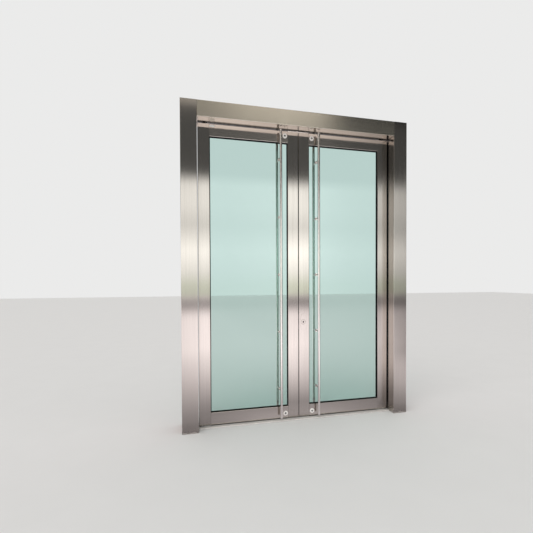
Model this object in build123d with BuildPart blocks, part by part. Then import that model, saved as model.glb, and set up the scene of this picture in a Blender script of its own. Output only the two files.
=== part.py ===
"""Two-leaf glass entrance door in a brushed stainless portal.

The frame of reference: X runs along the front from left to right, Y runs from the
street into the building, Z is up. The origin is on the floor, at the middle of the
portal's footprint. All sizes are in millimetres.
"""
import math
import os

from build123d import *

os.makedirs("parts", exist_ok=True)

# Portal, the boxy surround
portal_width = 2320
portal_height = 3080
portal_depth = 280
jamb_face = 150
header_face = 150
skin = 1.5
bend_radius = 3
lip = 25
joint_gap = 0.4

# Steel carcass inside the portal's cladding
post_wall = 5
foot_thickness = 10
foot_margin = 35
foot_toe = 20
foot_clearance = 3.5
foot_side_gap = 7
foot_anchor_edge = 20
anchor_radius = 7
anchor_access_radius = 14
foot_anchor_spacing_x = 90
wall_anchor_spacing_y = 120
wall_anchor_spacing_z = 2200
beam_wall = 5
beam_margin = 10
end_plate_thickness = 8
end_plate_height = 120
frame_bolt_radius = 4
frame_bolt_head_radius = 7.5
frame_bolt_head_height = 5
frame_bolt_spacing_y = 40
frame_bolt_spacing_z = 80
notch_clearance = 1

# Door leaves
leaf_recess = 130
leaf_thickness = 50
leaf_wall = 2
leaf_edge_radius = 3
stile_face = 109
top_rail_face = 117
bottom_rail_face = 119
heel_gap = 11
meeting_gap = 6
head_gap = 12
foot_gap = 8
threshold_thickness = 10
threshold_reach = 50
threshold_bevel = 4

# Glazing
glass_thickness = 12
glass_cover = 12
pocket_width = 20
pocket_depth = 16
gasket_grip = 10
gasket_nose = 8
gasket_rim = 2
gasket_recess = 2
gasket_play = 0.1
setting_block_length = 80
setting_block_share = 0.25

# Pivots
pivot_inset = 65
pivot_pin_radius = 10
pivot_pin_length = 30
pivot_pin_bevel = 1
pivot_play = 0.05
pivot_end_play = 0.5
pivot_plate_length = 110
pivot_plate_width = 40
pivot_plate_thickness = 5
pivot_screw_spacing = 80
pivot_screw_radius = 2.5
pivot_screw_head_radius = 5
countersink_angle = 90
pivot_block_length = 86
pivot_block_height = 60
block_play = 0.3
spindle_radius = 12
spindle_square = 18
spindle_engagement = 30
spindle_bevel = 1.5

# Concealed closers in the header
closer_length = 280
closer_width = 80
closer_height = 70
closer_head = 45
closer_corner_radius = 12
closer_bevel = 2
closer_lug_length = 18
closer_lug_thickness = 8
closer_neck_radius = 20
closer_neck_height = 8
closer_bolt_spacing = 50
neck_clearance = 2
neck_air = 10.5

# Full-height pull handles
pull_radius = 12.5
pull_wall = 1.5
pull_cap = 3
pull_stand_off = 60
pull_offset = 198
pull_top_inset = 6
pull_bottom_inset = 20
pull_end_bevel = 1
post_inset = 277
post_count = 5
post_radius = 8
post_flange_radius = 14
post_flange_thickness = 5
post_play = 0.1
stud_radius = 4
stud_bite = 18
washer_thickness = 1.5
washer_collar_length = 4
glass_hole_radius = 8
washer_play = 0.2

# Keyed bolt locks
lock_offset = 142
lock_inset = 48
lock_throw = 17
key_turn = 90
bolt_setback = 1
bolt_radius = 7
bolt_play = 0.1
keep_play = 1
plug_radius = 8
plug_shaft_radius = 4
plug_play = 0.05
plug_recess = 2.5
barrel_radius = 13
barrel_play = 0.3
cam_pin_radius = 2.5
cam_rim = 1.5
cam_thickness = 4
slot_play = 0.4
tail_thickness = 5
tail_half_width = 18.5
tail_below = 14
tail_above = 20
tail_overlap = 1.5
shaft_slot_play = 0.6
case_half_width = 23
case_depth = 38
case_wall = 3
case_below = 26
rosette_radius = 25
rosette_thickness = 5
rosette_round = 4.5
rosette_play = 0.3
keyway_width = 2.4
keyway_height = 9
keyway_depth = 8

# Centre lock of the right leaf
centre_lock_height = 990
centre_lock_backset = 45
centre_bolt_height = 26
centre_bolt_thickness = 10
forend_length = 160
forend_width = 22
forend_play = 0.2
strike_length = 110
escutcheon_width = 66
escutcheon_length = 168
escutcheon_thickness = 2.5

# Dent in the upper edge of the left leaf's top rail
dent_width = 60
dent_height = 34
dent_depth = 1.1
dent_offset = 27
dent_drop = 16

# Places worked out from the driving sizes
opening_half = portal_width / 2 - jamb_face
opening_top = portal_height - header_face
leaf_front = -portal_depth / 2 + leaf_recess
leaf_back = leaf_front + leaf_thickness
leaf_mid = (leaf_front + leaf_back) / 2
leaf_bottom = threshold_thickness + foot_gap
leaf_top = opening_top - head_gap
leaf_height = leaf_top - leaf_bottom
heel_x = opening_half - heel_gap
meet_x = meeting_gap / 2
pivot_x = heel_x - pivot_inset
pane_inner_x = meet_x + stile_face
pane_outer_x = heel_x - stile_face
pane_width = pane_outer_x - pane_inner_x
pane_mid_x = (pane_outer_x + pane_inner_x) / 2
pane_bottom = leaf_bottom + bottom_rail_face
pane_top = leaf_top - top_rail_face
pane_height = pane_top - pane_bottom
pane_mid_z = (pane_top + pane_bottom) / 2
foot_depth = portal_depth - 2 * (skin + foot_clearance)
foot_face = jamb_face - 2 * skin - foot_side_gap
foot_anchor_spacing_y = foot_depth - 2 * foot_anchor_edge
post_face = foot_face - foot_toe
post_depth = foot_depth - 2 * foot_margin
post_outer_x = portal_width / 2 - skin
post_inner_x = post_outer_x - post_face
post_mid_x = (post_outer_x + post_inner_x) / 2
beam_depth = closer_width + 2 * beam_margin
beam_height = header_face - skin - closer_height - closer_neck_height - neck_air
beam_top = portal_height - skin
beam_bottom = beam_top - beam_height
glass_front = leaf_mid - glass_thickness / 2
glass_back = leaf_mid + glass_thickness / 2
gasket_proud = (leaf_thickness - glass_thickness) / 2 - gasket_recess
pull_bottom = leaf_bottom + pull_bottom_inset
pull_top = leaf_top - pull_top_inset
pull_mid_z = (pull_bottom + pull_top) / 2
post_spacing = (pull_top - pull_bottom - 2 * post_inset) / (post_count - 1)
cam_start = math.radians(key_turn / 2)
cam_radius = lock_throw / 2 / math.sin(cam_start)
sides = {"left": -1, "right": 1}


def save(piece, name):
    """Label a finished piece and write it as a STEP file of its own."""
    piece.part.label = name
    export_step(piece.part, f"parts/{name}.step")


def upright(y):
    """A plane parallel to the doors at depth y, seen from the street, normal to the street."""
    return Plane(origin=(0, y, 0), x_dir=(1, 0, 0), z_dir=(0, -1, 0))


# Portal

def jamb_cladding(side):
    """Folded sheet round a post: front, reveal and back, with lips on the wall side and a lid."""
    mid_x = side * (portal_width / 2 - jamb_face / 2)
    with BuildPart() as cladding:
        with BuildSketch():
            with Locations((mid_x, 0)):
                RectangleRounded(jamb_face, portal_depth, bend_radius)
                RectangleRounded(jamb_face - 2 * skin, portal_depth - 2 * skin,
                                 bend_radius - skin, mode=Mode.SUBTRACT)
            with Locations((side * portal_width / 2, 0)):
                Rectangle(2 * (skin + bend_radius), portal_depth - 2 * lip, mode=Mode.SUBTRACT)
        extrude(amount=portal_height)
        with BuildSketch(Plane.YZ.offset(side * opening_half)):
            with Locations((leaf_mid, (beam_top + beam_bottom) / 2)):
                Rectangle(beam_depth + 2 * notch_clearance, beam_height + 2 * notch_clearance)
        extrude(amount=side * 2 * skin, mode=Mode.SUBTRACT)
        with BuildSketch(Plane.XY.offset(portal_height - skin)):
            with Locations((mid_x, 0)):
                RectangleRounded(jamb_face, portal_depth, bend_radius)
        extrude(amount=skin)
    return cladding


def jamb_post(side):
    """Square-section steel post on a welded foot plate, drilled for floor and wall anchors."""
    with BuildPart() as post:
        with BuildSketch():
            with Locations((side * post_mid_x, 0)):
                Rectangle(post_face, post_depth)
                Rectangle(post_face - 2 * post_wall, post_depth - 2 * post_wall, mode=Mode.SUBTRACT)
        extrude(amount=beam_top)
        with BuildSketch():
            with Locations((side * (post_outer_x - foot_face / 2), 0)):
                Rectangle(foot_face, foot_depth)
        extrude(amount=foot_thickness)
        with BuildSketch():
            with Locations((side * post_mid_x, 0)):
                with GridLocations(foot_anchor_spacing_x, foot_anchor_spacing_y, 2, 2):
                    Circle(anchor_radius)
        extrude(amount=foot_thickness, mode=Mode.SUBTRACT)
        with BuildSketch(Plane.YZ.offset(side * (post_outer_x - post_wall))):
            with Locations((0, portal_height / 2)):
                with GridLocations(wall_anchor_spacing_y, wall_anchor_spacing_z, 2, 2):
                    Circle(anchor_radius)
        extrude(amount=side * post_wall, mode=Mode.SUBTRACT)
        with BuildSketch(Plane.YZ.offset(side * post_inner_x)):
            with Locations((0, portal_height / 2)):
                with GridLocations(wall_anchor_spacing_y, wall_anchor_spacing_z, 2, 2):
                    Circle(anchor_access_radius)
            with Locations(*frame_bolt_places()):
                Circle(frame_bolt_radius + bolt_play)
        extrude(amount=side * post_wall, mode=Mode.SUBTRACT)
    return post


def frame_bolt_places():
    """The (y, z) places of the four bolts that join the beam's end plate to a post."""
    mid_z = beam_top - end_plate_height / 2
    return [
        (leaf_mid + dy * frame_bolt_spacing_y / 2, mid_z + dz * frame_bolt_spacing_z / 2)
        for dy in (-1, 1)
        for dz in (-1, 1)
    ]


def header_beam():
    """Hollow beam from post to post with a welded plate at each end."""
    half_span = post_inner_x - end_plate_thickness
    with BuildPart() as beam:
        with BuildSketch(Plane.YZ.offset(-half_span)):
            with Locations((leaf_mid, (beam_top + beam_bottom) / 2)):
                Rectangle(beam_depth, beam_height)
                Rectangle(beam_depth - 2 * beam_wall, beam_height - 2 * beam_wall, mode=Mode.SUBTRACT)
        extrude(amount=2 * half_span)
        for side in sides.values():
            with BuildSketch(Plane.YZ.offset(side * half_span)):
                with Locations((leaf_mid, beam_top - end_plate_height / 2)):
                    Rectangle(beam_depth, end_plate_height)
                with Locations(*frame_bolt_places()):
                    Circle(frame_bolt_radius + bolt_play, mode=Mode.SUBTRACT)
            extrude(amount=side * end_plate_thickness)
        with BuildSketch(Plane.XY.offset(beam_bottom)):
            with Locations(*closer_bolt_places()):
                Circle(frame_bolt_radius + bolt_play)
        extrude(amount=beam_wall, mode=Mode.SUBTRACT)
    return beam


def frame_bolts():
    """Equal hex bolts: from inside the posts into the beam's ends, and through the closers' lugs."""
    lug_face = beam_bottom - closer_lug_thickness
    with BuildPart() as bolts:
        for side in sides.values():
            with BuildSketch(Plane.YZ.offset(side * (post_inner_x - end_plate_thickness))):
                with Locations(*frame_bolt_places()):
                    Circle(frame_bolt_radius)
            extrude(amount=side * (end_plate_thickness + post_wall))
            with BuildSketch(Plane.YZ.offset(side * (post_inner_x + post_wall))):
                with Locations(*frame_bolt_places()):
                    RegularPolygon(frame_bolt_head_radius, 6)
            extrude(amount=side * frame_bolt_head_height)
        with BuildSketch(Plane.XY.offset(lug_face)):
            with Locations(*closer_bolt_places()):
                Circle(frame_bolt_radius)
        extrude(amount=closer_lug_thickness + beam_wall)
        with BuildSketch(Plane.XY.offset(lug_face)):
            with Locations(*closer_bolt_places()):
                RegularPolygon(frame_bolt_head_radius, 6)
        extrude(amount=-frame_bolt_head_height)
    return bolts


def header_cladding():
    """Folded sheet between the jambs: front, soffit and back, with lips along the top."""
    mid_z = (portal_height + opening_top) / 2
    half_length = opening_half - joint_gap
    with BuildPart() as cladding:
        with BuildSketch(Plane.YZ.offset(-half_length)):
            with Locations((0, mid_z)):
                RectangleRounded(portal_depth, header_face, bend_radius)
                RectangleRounded(portal_depth - 2 * skin, header_face - 2 * skin,
                                 bend_radius - skin, mode=Mode.SUBTRACT)
            with Locations((0, portal_height)):
                Rectangle(portal_depth - 2 * lip, 2 * (skin + bend_radius), mode=Mode.SUBTRACT)
        extrude(amount=2 * half_length)
        with BuildSketch(Plane.XY.offset(opening_top)):
            with Locations((-pivot_x, leaf_mid), (pivot_x, leaf_mid)):
                Circle(closer_neck_radius + neck_clearance)
            with Locations((-lock_offset, leaf_mid), (lock_offset, leaf_mid)):
                Circle(bolt_radius + keep_play)
        extrude(amount=skin, mode=Mode.SUBTRACT)
    return cladding


def threshold_plate():
    """Flat plate on the floor between the jambs, bevelled front and back, with two bolt keeps."""
    length = 2 * (opening_half - joint_gap)
    with BuildPart() as plate:
        with BuildSketch():
            with Locations((0, leaf_mid)):
                Rectangle(length, leaf_thickness + 2 * threshold_reach)
            with Locations((-lock_offset, leaf_mid), (lock_offset, leaf_mid)):
                Circle(bolt_radius + keep_play, mode=Mode.SUBTRACT)
            with Locations(*pivot_screw_places()):
                Circle(pivot_screw_radius + bolt_play, mode=Mode.SUBTRACT)
        extrude(amount=threshold_thickness)
        long_edges = plate.edges().filter_by(Axis.X).group_by(Axis.Z)[-1]
        chamfer(long_edges, threshold_bevel)
    return plate


# Pivots and closers

def pivot_screw_places():
    """The (x, y) places of the screws that hold both bottom pivots."""
    return [
        (side * pivot_x + end * pivot_screw_spacing / 2, leaf_mid)
        for side in sides.values()
        for end in (-1, 1)
    ]


def bottom_pivot(side):
    """Plate on the threshold with the upright pin that carries the leaf."""
    with BuildPart() as pivot:
        with BuildSketch(Plane.XY.offset(threshold_thickness)):
            with Locations((side * pivot_x, leaf_mid)):
                SlotOverall(pivot_plate_length, pivot_plate_width)
        extrude(amount=pivot_plate_thickness)
        for end in (-1, 1):
            screw_x = side * pivot_x + end * pivot_screw_spacing / 2
            with Locations((screw_x, leaf_mid, threshold_thickness + pivot_plate_thickness)):
                CounterSinkHole(pivot_screw_radius + bolt_play, pivot_screw_head_radius + bolt_play,
                                counter_sink_angle=countersink_angle)
        with BuildSketch(Plane.XY.offset(threshold_thickness + pivot_plate_thickness)):
            with Locations((side * pivot_x, leaf_mid)):
                Circle(pivot_pin_radius)
        extrude(amount=pivot_pin_length)
        chamfer(pivot.edges().group_by(Axis.Z)[-1], pivot_pin_bevel)
    return pivot


def pivot_screws():
    """Countersunk screws through both pivot plates into the threshold."""
    top = threshold_thickness + pivot_plate_thickness
    head_taper = countersink_angle / 2
    head_height = (pivot_screw_head_radius - pivot_screw_radius) / math.tan(math.radians(head_taper))
    with BuildPart() as screws:
        for x, y in pivot_screw_places():
            with BuildSketch(Plane.XY.offset(top)):
                with Locations((x, y)):
                    Circle(pivot_screw_head_radius)
            extrude(amount=-head_height, taper=head_taper)
            with BuildSketch(Plane.XY.offset(top - head_height)):
                with Locations((x, y)):
                    Circle(pivot_screw_radius)
            extrude(amount=-(top - head_height - block_play))
    return screws


def block_centre_x():
    """Distance of the pivot blocks' middle from the door's middle."""
    return heel_x - leaf_wall - block_play - pivot_block_length / 2


def bottom_pivot_shoe(side):
    """Block in the foot of the hinge stile with the blind bearing for the pivot pin."""
    pin_reach = threshold_thickness + pivot_plate_thickness + pivot_pin_length - leaf_bottom
    with BuildPart() as shoe:
        with BuildSketch(Plane.XY.offset(leaf_bottom)):
            with Locations((side * block_centre_x(), leaf_mid)):
                Rectangle(pivot_block_length, leaf_thickness - 2 * (leaf_wall + block_play))
        extrude(amount=pivot_block_height)
        with BuildSketch(Plane.XY.offset(leaf_bottom)):
            with Locations((side * pivot_x, leaf_mid)):
                Circle(pivot_pin_radius + pivot_play)
        extrude(amount=pin_reach + pivot_end_play, mode=Mode.SUBTRACT)
    return shoe


def top_pivot_arm(side):
    """Block in the head of the hinge stile with the square socket for the closer's spindle."""
    with BuildPart() as arm:
        with BuildSketch(Plane.XY.offset(leaf_top)):
            with Locations((side * block_centre_x(), leaf_mid)):
                Rectangle(pivot_block_length, leaf_thickness - 2 * (leaf_wall + block_play))
        extrude(amount=-pivot_block_height)
        with BuildSketch(Plane.XY.offset(leaf_top)):
            with Locations((side * pivot_x, leaf_mid)):
                Rectangle(spindle_square + 2 * pivot_play, spindle_square + 2 * pivot_play)
        extrude(amount=-(spindle_engagement + pivot_end_play), mode=Mode.SUBTRACT)
    return arm


def closer_bolt_places():
    """The (x, y) places of the bolts that hang both closers from the beam."""
    heel_end = pivot_x + closer_head + closer_lug_length / 2
    far_end = pivot_x + closer_head - closer_length - closer_lug_length / 2
    return [
        (side * x, leaf_mid + dy * closer_bolt_spacing / 2)
        for side in sides.values()
        for x in (heel_end, far_end)
        for dy in (-1, 1)
    ]


def closer_body(side):
    """Cast closer body under the beam, with end lugs and a neck round its spindle."""
    mid_x = side * (pivot_x + closer_head - closer_length / 2)
    with BuildPart() as body:
        with BuildSketch(Plane.XY.offset(beam_bottom - closer_height)):
            with Locations((mid_x, leaf_mid)):
                RectangleRounded(closer_length, closer_width, closer_corner_radius)
        extrude(amount=closer_height)
        chamfer(body.faces().sort_by(Axis.Z)[0].edges(), closer_bevel)
        with BuildSketch(Plane.XY.offset(beam_bottom - closer_lug_thickness)):
            with Locations((mid_x, leaf_mid)):
                Rectangle(closer_length + 2 * closer_lug_length, closer_width)
        extrude(amount=closer_lug_thickness)
        with BuildSketch(Plane.XY.offset(beam_bottom - closer_lug_thickness)):
            with Locations(*[place for place in closer_bolt_places() if place[0] * side > 0]):
                Circle(frame_bolt_radius + bolt_play)
        extrude(amount=closer_lug_thickness, mode=Mode.SUBTRACT)
        with BuildSketch(Plane.XY.offset(beam_bottom - closer_height)):
            with Locations((side * pivot_x, leaf_mid)):
                Circle(closer_neck_radius)
        extrude(amount=-closer_neck_height)
        with BuildSketch(Plane.XY.offset(beam_bottom - closer_height - closer_neck_height)):
            with Locations((side * pivot_x, leaf_mid)):
                Circle(spindle_radius + pivot_play)
        extrude(amount=closer_height, mode=Mode.SUBTRACT)
    return body


def closer_spindle(side):
    """Spindle that turns in the closer and drives the leaf through its square end."""
    neck_end = beam_bottom - closer_height - closer_neck_height
    with BuildPart() as spindle:
        with BuildSketch(Plane.XY.offset(leaf_top - spindle_engagement)):
            with Locations((side * pivot_x, leaf_mid)):
                Rectangle(spindle_square, spindle_square)
        extrude(amount=neck_end - leaf_top + spindle_engagement)
        with BuildSketch(Plane.XY.offset(neck_end)):
            with Locations((side * pivot_x, leaf_mid)):
                Circle(spindle_radius)
        extrude(amount=closer_height - pivot_end_play)
        chamfer(spindle.edges().group_by(Axis.Z)[0], spindle_bevel)
    return spindle


# Leaf frames

def stile(mid_x, pocket_x):
    """Hollow stile over the leaf's full height, with the glazing pocket in its inner edge."""
    with BuildPart() as piece:
        with BuildSketch(Plane.XY.offset(leaf_bottom)) as section:
            with Locations((mid_x, leaf_mid)):
                RectangleRounded(stile_face, leaf_thickness, leaf_edge_radius)
            with Locations((pocket_x, leaf_mid)):
                Rectangle(pocket_depth, pocket_width, mode=Mode.SUBTRACT)
            offset(section.sketch_local, amount=-leaf_wall, kind=Kind.INTERSECTION, mode=Mode.SUBTRACT)
        extrude(amount=leaf_height)
    return piece


def hinge_stile(side):
    """Stile that carries the pivots."""
    return stile(side * (heel_x - stile_face / 2), side * (pane_outer_x + pocket_depth / 2))


def meeting_stile(side):
    """Stile at the middle of the door, cut for the centre lock or for its strike."""
    blank = stile(side * (meet_x + stile_face / 2), side * (pane_inner_x - pocket_depth / 2))
    cut_length = forend_length if side > 0 else strike_length
    with BuildPart() as piece:
        add(blank.part)
        with BuildSketch(Plane.YZ.offset(side * meet_x)):
            with Locations((leaf_mid, centre_lock_height)):
                Rectangle(forend_width + 2 * forend_play, cut_length + 2 * forend_play)
        extrude(amount=side * leaf_wall, mode=Mode.SUBTRACT)
        if side > 0:
            with BuildSketch(upright(leaf_front)):
                with Locations((meet_x + centre_lock_backset, centre_lock_height)):
                    Circle(barrel_radius + barrel_play)
            extrude(amount=-leaf_thickness, mode=Mode.SUBTRACT)
    return piece


def rail(side, mid_z, face, pocket_z):
    """Hollow rail between the stiles, with the glazing pocket in its inner edge."""
    start = side * (pane_inner_x + joint_gap)
    with BuildPart() as piece:
        with BuildSketch(Plane.YZ.offset(start)) as section:
            with Locations((leaf_mid, mid_z)):
                RectangleRounded(leaf_thickness, face, leaf_edge_radius)
            with Locations((leaf_mid, pocket_z)):
                Rectangle(pocket_width, pocket_depth, mode=Mode.SUBTRACT)
            offset(section.sketch_local, amount=-leaf_wall, kind=Kind.INTERSECTION, mode=Mode.SUBTRACT)
        extrude(amount=side * (pane_width - 2 * joint_gap))
    return piece


def cut_for_lock(blank, side, lock_z, edge_z):
    """Cut a rail for a lock's barrel, through both faces, and for its bolt, through the edge."""
    with BuildPart() as piece:
        add(blank.part)
        with BuildSketch(upright(leaf_front)):
            with Locations((side * lock_offset, lock_z)):
                Circle(barrel_radius + barrel_play)
        extrude(amount=-leaf_thickness, mode=Mode.SUBTRACT)
        with BuildSketch(Plane.XY.offset(edge_z)):
            with Locations((side * lock_offset, leaf_mid)):
                Circle(bolt_radius + barrel_play)
        extrude(amount=math.copysign(leaf_wall, lock_z - edge_z), mode=Mode.SUBTRACT)
    return piece


def top_rail(side):
    """Top rail; the left one has a shallow dent in its upper edge."""
    blank = rail(side, leaf_top - top_rail_face / 2, top_rail_face, pane_top + pocket_depth / 2)
    drilled = cut_for_lock(blank, side, leaf_top - lock_inset, leaf_top)
    across = (dent_width ** 2 / 4 + dent_depth ** 2) / (2 * dent_depth)
    upward = (dent_height ** 2 / 4 + dent_depth ** 2) / (2 * dent_depth)
    with BuildPart() as piece:
        add(drilled.part)
        if side < 0:
            with Locations((-(pane_outer_x - dent_offset), leaf_front + dent_depth - across,
                            leaf_top - dent_drop)):
                Torus(across - upward, upward, mode=Mode.SUBTRACT)
    return piece


def bottom_rail(side):
    """Bottom rail."""
    mid_z = leaf_bottom + bottom_rail_face / 2
    blank = rail(side, mid_z, bottom_rail_face, pane_bottom - pocket_depth / 2)
    return cut_for_lock(blank, side, leaf_bottom + lock_inset, leaf_bottom)


# Glazing

def glass_pane(side):
    """Toughened pane held in the pockets, drilled for the handle studs."""
    with BuildPart() as pane:
        with BuildSketch(upright(glass_back)):
            with Locations((side * pane_mid_x, pane_mid_z)):
                Rectangle(pane_width + 2 * glass_cover, pane_height + 2 * glass_cover)
            with Locations(*post_places(side)):
                Circle(glass_hole_radius, mode=Mode.SUBTRACT)
        extrude(amount=glass_thickness)
    return pane


def gaskets(side):
    """Black rubber wedges on both faces of the pane, gripped by the pockets."""
    grip_width = (pocket_width - glass_thickness) / 2 - gasket_play
    slope = math.degrees(math.atan((gasket_nose - gasket_rim) / gasket_proud))
    with BuildPart() as rubber:
        for start, outward in ((glass_front, 1), (glass_back, -1)):
            with BuildSketch(upright(start)):
                with Locations((side * pane_mid_x, pane_mid_z)):
                    Rectangle(pane_width + 2 * gasket_grip, pane_height + 2 * gasket_grip)
            extrude(amount=outward * grip_width)
            with BuildSketch(upright(start)):
                with Locations((side * pane_mid_x, pane_mid_z)):
                    Rectangle(pane_width - 2 * gasket_play, pane_height - 2 * gasket_play)
            extrude(amount=outward * gasket_proud)
            with BuildSketch(upright(start)):
                with Locations((side * pane_mid_x, pane_mid_z)):
                    Rectangle(pane_width - 2 * gasket_nose, pane_height - 2 * gasket_nose)
            extrude(amount=outward * gasket_proud, taper=-slope, mode=Mode.SUBTRACT)
    return rubber


def setting_blocks(side):
    """Two packers in the bottom pocket that carry the pane's weight."""
    with BuildPart() as blocks:
        with BuildSketch(Plane.XY.offset(pane_bottom - pocket_depth)):
            for share in (-1, 1):
                x = side * pane_mid_x + share * (0.5 - setting_block_share) * pane_width
                with Locations((x, leaf_mid)):
                    Rectangle(setting_block_length, glass_thickness)
        extrude(amount=pocket_depth - glass_cover)
    return blocks


# Pull handles

def post_places(side):
    """The (x, z) places where a handle's posts stand on the pane."""
    first = pull_mid_z - post_spacing * (post_count - 1) / 2
    return [(side * pull_offset, first + post_spacing * number) for number in range(post_count)]


def pull_tube(side, tube_y):
    """Round tube with closed ends over almost the full height of the leaf."""
    with BuildPart() as tube:
        with BuildSketch(Plane.XY.offset(pull_bottom)):
            with Locations((side * pull_offset, tube_y)):
                Circle(pull_radius)
        extrude(amount=pull_top - pull_bottom)
        chamfer(tube.edges().filter_by(GeomType.CIRCLE), pull_end_bevel)
        with BuildSketch(Plane.XY.offset(pull_bottom + pull_cap)):
            with Locations((side * pull_offset, tube_y)):
                Circle(pull_radius - pull_wall)
        extrude(amount=pull_top - pull_bottom - 2 * pull_cap, mode=Mode.SUBTRACT)
    return tube


def pull_posts(side):
    """Turned posts between the pane and the two tubes, saddle-cut to the tubes."""
    with BuildPart() as posts:
        for face_y, tube_y, outward in (
            (glass_front, leaf_front - pull_stand_off, 1),
            (glass_back, leaf_back + pull_stand_off, -1),
        ):
            flange_y = face_y - outward * washer_thickness
            with BuildSketch(upright(flange_y)):
                with Locations(*post_places(side)):
                    Circle(post_flange_radius)
            extrude(amount=outward * post_flange_thickness)
            with BuildSketch(upright(flange_y)):
                with Locations(*post_places(side)):
                    Circle(post_radius)
            extrude(amount=abs(tube_y - flange_y) * outward)
            with BuildSketch(upright(flange_y)):
                with Locations(*post_places(side)):
                    Circle(stud_radius + plug_play)
            extrude(amount=outward * (stud_bite + pivot_end_play), mode=Mode.SUBTRACT)
            with BuildSketch(Plane.XY.offset(pull_bottom)):
                with Locations((side * pull_offset, tube_y)):
                    Circle(pull_radius + post_play)
            extrude(amount=pull_top - pull_bottom, mode=Mode.SUBTRACT)
    return posts


def pull_studs(side):
    """Threaded studs through the pane that draw each pair of posts together."""
    with BuildPart() as studs:
        with BuildSketch(upright(glass_back + washer_thickness + stud_bite)):
            with Locations(*post_places(side)):
                Circle(stud_radius)
        extrude(amount=glass_thickness + 2 * (washer_thickness + stud_bite))
    return studs


def pull_washers(side):
    """Nylon washers with a collar that keeps each stud clear of the glass."""
    with BuildPart() as washers:
        for face_y, outward in ((glass_front, 1), (glass_back, -1)):
            with BuildSketch(upright(face_y)):
                with Locations(*post_places(side)):
                    Circle(post_flange_radius)
            extrude(amount=outward * washer_thickness)
            with BuildSketch(upright(face_y)):
                with Locations(*post_places(side)):
                    Circle(glass_hole_radius - washer_play)
            extrude(amount=-outward * washer_collar_length)
        with BuildSketch(upright(glass_back + washer_thickness)):
            with Locations(*post_places(side)):
                Circle(stud_radius + washer_play)
        extrude(amount=glass_thickness + 2 * washer_thickness, mode=Mode.SUBTRACT)
    return washers


# Keyed bolt locks. Each is drawn on a plane through its axis at the leaf's mid thickness:
# the plane's normal points to the street and its y direction is the way the bolt is thrown.

def top_lock_plane(side):
    """Lock in the top rail; its bolt is thrown up into the header."""
    return Plane(origin=(side * lock_offset, leaf_mid, leaf_top - lock_inset),
                 x_dir=(1, 0, 0), z_dir=(0, -1, 0))


def bottom_lock_plane(side):
    """Lock in the bottom rail; its bolt is thrown down into the threshold."""
    return Plane(origin=(side * lock_offset, leaf_mid, leaf_bottom + lock_inset),
                 x_dir=(-1, 0, 0), z_dir=(0, -1, 0))


def centre_lock_plane():
    """Lock in the right meeting stile; its bolt is thrown across into the left leaf."""
    return Plane(origin=(meet_x + centre_lock_backset, leaf_mid, centre_lock_height),
                 x_dir=(0, 0, 1), z_dir=(0, -1, 0))


def nose(flat, play):
    """Outline of a bolt's nose in its own cross section: round, or flat for the centre lock."""
    if flat:
        return Rectangle(centre_bolt_height + 2 * play, centre_bolt_thickness + 2 * play)
    return Circle(bolt_radius + play)


def throw_plane(plane, distance):
    """The plane across the bolt at a distance from the lock's axis, along its throw."""
    return Plane(origin=plane.origin + plane.y_dir * distance, x_dir=plane.x_dir, z_dir=plane.y_dir)


def lock_case(planes, reach, flat):
    """Lock cases on the given planes: box, two barrels, cavity and the way for the bolt."""
    top = reach - leaf_wall - (0 if flat else block_play)
    with BuildPart() as case:
        for plane in planes:
            with BuildSketch(plane.offset(-case_depth / 2)):
                with Locations((0, (top - case_below) / 2)):
                    Rectangle(2 * case_half_width, top + case_below)
            extrude(amount=case_depth)
            with BuildSketch(plane.offset(-leaf_thickness / 2)):
                Circle(barrel_radius)
            extrude(amount=leaf_thickness)
            with BuildSketch(plane.offset(-case_depth / 2 + case_wall)):
                with Locations((0, (top - case_below) / 2)):
                    Rectangle(2 * (case_half_width - case_wall), top + case_below - 2 * case_wall)
            extrude(amount=case_depth - 2 * case_wall, mode=Mode.SUBTRACT)
            with BuildSketch(plane.offset(-leaf_thickness / 2)):
                Circle(plug_radius + plug_play)
            extrude(amount=leaf_thickness, mode=Mode.SUBTRACT)
            if flat:
                with BuildSketch(throw_plane(plane, reach - leaf_wall)):
                    Rectangle(forend_length, forend_width)
                extrude(amount=leaf_wall)
            with BuildSketch(throw_plane(plane, top - case_wall)):
                nose(flat, bolt_play)
            extrude(amount=case_wall + leaf_wall, mode=Mode.SUBTRACT)
    return case


def lock_plug(plane):
    """Plug with a keyway in each end and, between them, the cam whose pin drives the bolt."""
    end = leaf_thickness / 2 + rosette_thickness - plug_recess
    cam_back = -(tail_thickness / 2 + slot_play + cam_thickness)
    cam_front = cam_back + cam_thickness
    turn = Plane(origin=plane.origin, x_dir=plane.x_dir, z_dir=plane.z_dir)
    pin_x = cam_radius * math.cos(cam_start)
    pin_y = -cam_radius * math.sin(cam_start)
    with BuildPart() as plug:
        with BuildSketch(turn.offset(-end)):
            Circle(plug_radius)
        extrude(amount=end + cam_back)
        with BuildSketch(turn.offset(cam_back)):
            Circle(cam_radius + cam_pin_radius + cam_rim)
        extrude(amount=cam_thickness)
        with BuildSketch(turn.offset(cam_front)):
            Circle(plug_shaft_radius)
            with Locations((pin_x, pin_y)):
                Circle(cam_pin_radius)
        extrude(amount=tail_thickness + 2 * slot_play)
        with BuildSketch(turn.offset(cam_front + tail_thickness + 2 * slot_play)):
            Circle(plug_radius)
        extrude(amount=end - cam_front - tail_thickness - 2 * slot_play)
        for start, way in ((end, -1), (-end, 1)):
            with BuildSketch(turn.offset(start)):
                Rectangle(keyway_width, keyway_height)
            extrude(amount=way * keyway_depth, mode=Mode.SUBTRACT)
    return plug


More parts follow.
